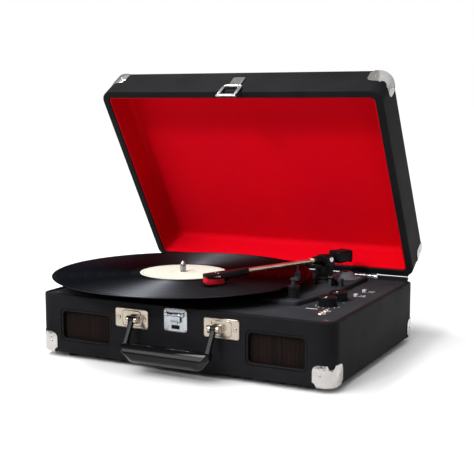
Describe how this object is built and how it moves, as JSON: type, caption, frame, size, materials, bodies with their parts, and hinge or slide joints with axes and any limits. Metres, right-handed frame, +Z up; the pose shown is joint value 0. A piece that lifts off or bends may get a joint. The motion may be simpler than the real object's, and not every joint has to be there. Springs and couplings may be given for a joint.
{
  "type": "suitcase record player",
  "caption": "Portable suitcase record player standing open, with a hinged lid, a 12-inch record on its platter, a tonearm, deck controls, front speakers and a carry handle.",
  "frame": {"origin": "at table height below the middle of the bounding box of the open player with its record", "axes": "+X to the player's right, along its longest side; +Y to the back, where the lid is hinged; +Z up"},
  "size_m": [0.3832, 0.3428, 0.3197],
  "materials": {
    "leatherette_black": "pebbled leatherette over board",
    "panel_black": "matt black board",
    "rubber_black": "matt rubber",
    "chrome": "polished plated steel",
    "nickel": "warm nickel plate",
    "zinc_satin": "satin zinc",
    "steel": "bright steel",
    "deck_black": "fine textured moulding",
    "plastic_black": "satin black moulding",
    "socket_metal": "plated socket",
    "switch_white": "pale moulding",
    "handle_gloss": "glossy black moulding",
    "grille_cloth": "dark woven cloth",
    "lining_red": "red lining",
    "vinyl_black": "grooved vinyl",
    "label_cream": "paper label",
    "aluminium": "drawn tube",
    "stylus_red": "red moulding",
    "adapter_grey": "grey moulding",
    "brass_pulley": "turned brass",
    "motor_can": "drawn steel can",
    "circuit_green": "laminate board",
    "speaker_paper": "paper cone in a steel basket"
  },
  "bodies": {
    "case": {"base_shell": "leatherette_black", "bottom_panel": "panel_black", "rubber_feet": "rubber_black", "base_corner_caps": "chrome", "base_cap_rivets": "chrome", "hinge_base_leaves": "steel", "hinge_pins": "steel", "deck_plate": "deck_black", "deck_screws": "steel", "deck_posts": "deck_black", "spindle": "steel", "motor": "motor_can", "drive_belt": "rubber_black", "tonearm_plinth": "deck_black", "tonearm_bush": "deck_black", "arm_rest_post": "deck_black", "knob_controls": "deck_black", "audio_sockets": "socket_metal", "switch_bodies": "deck_black", "circuit_board": "circuit_green", "grille_frames": "plastic_black", "grille_cloths": "grille_cloth", "speaker_drivers": "speaker_paper", "handle_brackets": "nickel", "bracket_screws": "nickel", "handle_pins": "steel", "catch_plate": "zinc_satin", "rca_sockets": "socket_metal", "dc_socket": "plastic_black"},
    "lid": {"lid_shell": "leatherette_black", "lid_lining": "lining_red", "lid_corner_caps": "chrome", "lid_cap_rivets": "chrome", "hinge_lid_leaves": "steel", "latch_plate": "chrome"},
    "latch_loop": {"latch_loop": "chrome"},
    "catch_tongue": {"catch_tongue": "zinc_satin"},
    "handle": {"handle_grip": "handle_gloss"},
    "platter": {"platter": "plastic_black", "slip_mat": "rubber_black", "record_disc": "vinyl_black", "record_label": "label_cream"},
    "motor_pulley": {"motor_shaft": "steel", "motor_pulley": "brass_pulley"},
    "turret": {"tonearm_turret": "plastic_black"},
    "tonearm": {"arm_hub": "plastic_black", "arm_cross_pin": "steel", "arm_tube": "aluminium", "headshell": "plastic_black", "finger_lift": "aluminium", "stylus_cartridge": "stylus_red", "counterweight": "plastic_black"},
    "cue_lever": {"cue_lever": "plastic_black"},
    "cue_bar": {"cue_bar": "plastic_black"},
    "arm_clip": {"arm_clip": "plastic_black"},
    "volume_knob": {"volume_knob": "plastic_black"},
    "function_knob": {"function_knob": "plastic_black"},
    "speed_switch": {"speed_switch": "switch_white"},
    "auto_stop_switch": {"auto_stop_switch": "switch_white"},
    "adapter_45": {"adapter_45": "adapter_grey"}
  },
  "joints": [
    {"name": "lid_hinge", "type": "hinge", "parent": "case", "child": "lid", "pos_m": [0.012, 0.13503, 0.0736], "axis": [-1, 0, 0], "range_deg": [-15.5, 36]},
    {"name": "latch_loop_hinge", "type": "hinge", "parent": "lid", "child": "latch_loop", "pos_m": [0.012, 0.00355, 0.30337], "axis": [-1, 0, 0], "range_deg": [0, 150]},
    {"name": "catch_tongue_hinge", "type": "hinge", "parent": "case", "child": "catch_tongue", "pos_m": [0.012, -0.13092, 0.06445], "axis": [-1, 0, 0], "range_deg": [0, 75]},
    {"name": "handle_hinge", "type": "hinge", "parent": "case", "child": "handle", "pos_m": [0.012, -0.13532, 0.055], "axis": [-1, 0, 0], "range_deg": [0, 90]},
    {"name": "platter_spin", "type": "hinge", "parent": "case", "child": "platter", "pos_m": [-0.0408, -0.02062, 0.0855], "axis": [0, 0, -1], "continuous": true},
    {"name": "motor_pulley_spin", "type": "hinge", "parent": "case", "child": "motor_pulley", "pos_m": [-0.09101, 0.02958, 0.0758], "axis": [0, 0, -1], "continuous": true},
    {"name": "tonearm_swing", "type": "hinge", "parent": "case", "child": "turret", "pos_m": [0.102, 0.06768, 0.1023], "axis": [0, 0, 1], "range_deg": [-16.2, 26.78]},
    {"name": "tonearm_lift", "type": "hinge", "parent": "turret", "child": "tonearm", "pos_m": [0.102, 0.06768, 0.1023], "axis": [-0.9291, 0.3697, 0], "range_deg": [0, 4.5]},
    {"name": "cue_lever_hinge", "type": "hinge", "parent": "case", "child": "cue_lever", "pos_m": [0.128, 0.03568, 0.0818], "axis": [-1, 0, 0], "range_deg": [0, 50]},
    {"name": "cue_bar_slide", "type": "slide", "parent": "case", "child": "cue_bar", "axis": [0, 0, 1], "range_m": [0, 0.0022]},
    {"name": "arm_clip_hinge", "type": "hinge", "parent": "case", "child": "arm_clip", "pos_m": [0.1174, -0.05034, 0.1044], "axis": [0, 1, 0], "range_deg": [-90, 0]},
    {"name": "volume_knob_turn", "type": "hinge", "parent": "case", "child": "volume_knob", "pos_m": [0.15, -0.04532, 0.0713], "axis": [0, 0, -1], "range_deg": [-140, 140]},
    {"name": "function_knob_turn", "type": "hinge", "parent": "case", "child": "function_knob", "pos_m": [0.15, -0.01332, 0.0713], "axis": [0, 0, -1], "range_deg": [-45, 45]},
    {"name": "speed_switch_slide", "type": "slide", "parent": "case", "child": "speed_switch", "axis": [0, 1, 0], "range_m": [0, 0.006]},
    {"name": "auto_stop_switch_slide", "type": "slide", "parent": "case", "child": "auto_stop_switch", "axis": [0, 1, 0], "range_m": [0, 0.006]},
    {"name": "adapter_lift", "type": "slide", "parent": "case", "child": "adapter_45", "axis": [0, 0, 1], "range_m": [0, 0.008]}
  ],
  "couplings": [
    {"joint": "motor_pulley_spin", "follows": "platter_spin", "ratio": 10.4},
    {"joint": "cue_lever_hinge", "follows": "tonearm_lift", "ratio": 11.111},
    {"joint": "cue_bar_slide", "follows": "tonearm_lift", "m_per_rad": 0.027991}
  ]
}
